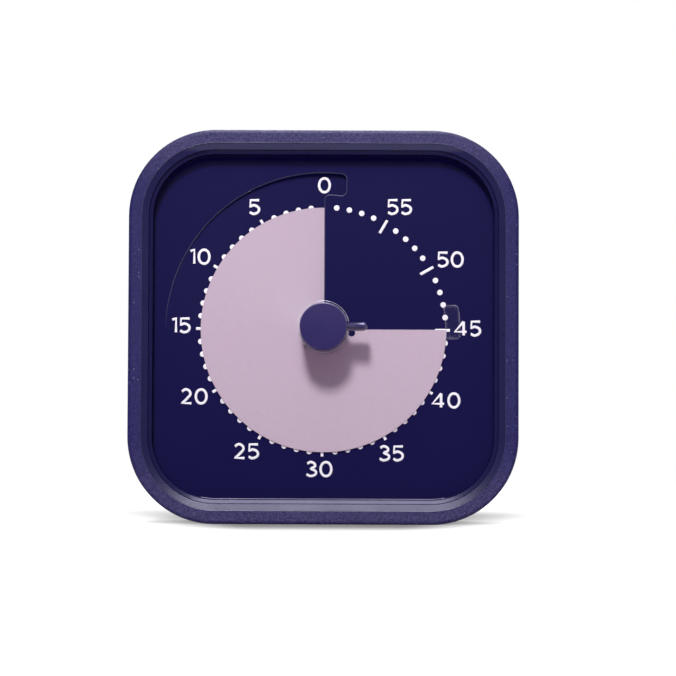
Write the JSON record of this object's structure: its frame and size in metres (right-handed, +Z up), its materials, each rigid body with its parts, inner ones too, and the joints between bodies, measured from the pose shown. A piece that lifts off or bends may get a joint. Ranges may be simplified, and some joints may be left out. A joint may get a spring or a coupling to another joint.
{
  "type": "visual countdown timer",
  "caption": "Small square desk timer: a disc fans out anticlockwise over a numbered dial through a slit at zero, set by a central knob with a lever, in a soft cover.",
  "frame": {"origin": "middle of the outline's footprint, on the surface that the timer stands on", "axes": "the dial faces -Y; +X is to the reader's right; +Z is up, towards the zero of the dial"},
  "size_m": [0.092, 0.0508, 0.093],
  "materials": {
    "cover_silicone": "matt, soft, slightly dusty",
    "case_plastic": "satin",
    "dial_plastic": "satin",
    "disc_film": "matt",
    "clear_plastic": "clear, polished",
    "knob_plastic": "satin",
    "button_plastic": "satin",
    "steel": "ground",
    "wheel_plastic": "natural acetal",
    "spring_brass": "rolled",
    "motor_metal": "drawn",
    "movement_plastic": "moulded",
    "board_laminate": "satin",
    "black_plastic": "matt",
    "battery_jacket": "gloss jacket",
    "contact_metal": "nickel plated",
    "screw_steel": "zinc plated"
  },
  "bodies": {
    "case": {"silicone_cover": "cover_silicone", "front_case": "case_plastic", "rear_case": "case_plastic", "dial_plate": "dial_plastic", "movement_plate": "movement_plastic", "movement_cover": "movement_plastic", "drive_motor": "motor_metal", "circuit_board": "board_laminate", "control_chip": "black_plastic", "quartz_crystal": "motor_metal", "buzzer": "black_plastic", "switch_body": "motor_metal", "battery": "battery_jacket", "positive_contact": "contact_metal", "negative_contact": "contact_metal", "case_screws": "screw_steel", "plate_screws": "screw_steel", "movement_screws": "screw_steel", "board_screws": "screw_steel"},
    "setting_knob": {"knob": "knob_plastic", "clear_hub": "clear_plastic", "timer_disc": "disc_film", "disc_tab": "clear_plastic", "arbor": "steel", "centre_wheel": "wheel_plastic", "clutch_spring": "spring_brass", "clutch_collar": "spring_brass"},
    "intermediate": {"intermediate_wheel": "wheel_plastic", "intermediate_pinion": "steel"},
    "motor_output": {"motor_pinion": "steel"},
    "alert_button": {"alert_slider": "button_plastic"},
    "door": {"battery_door": "case_plastic", "door_screw": "screw_steel"}
  },
  "joints": [
    {"name": "time_setting", "type": "hinge", "parent": "case", "child": "setting_knob", "pos_m": [0, -0.0136, 0.0461], "axis": [0, -1, 0], "range_deg": [-270, 90], "deforming": ["timer_disc"]},
    {"name": "intermediate_turn", "type": "hinge", "parent": "case", "child": "intermediate", "pos_m": [-0.0099, -0.0046, 0.056], "axis": [0, -1, 0], "range_deg": [-545, 1625]},
    {"name": "motor_turn", "type": "hinge", "parent": "case", "child": "motor_output", "pos_m": [0.00198, -0.0026, 0.05767], "axis": [0, -1, 0], "range_deg": [-6490, 2170]},
    {"name": "alert_switch", "type": "slide", "parent": "case", "child": "alert_button", "axis": [1, 0, 0], "range_m": [0, 0.0025]},
    {"name": "battery_door_swing", "type": "hinge", "parent": "case", "child": "door", "pos_m": [-0.02875, 0.0241, 0.0241], "axis": [0, 0, 1], "range_deg": [0, 70]}
  ],
  "couplings": [
    {"joint": "intermediate_turn", "follows": "time_setting", "ratio": -6},
    {"joint": "motor_turn", "follows": "time_setting", "ratio": 24}
  ]
}
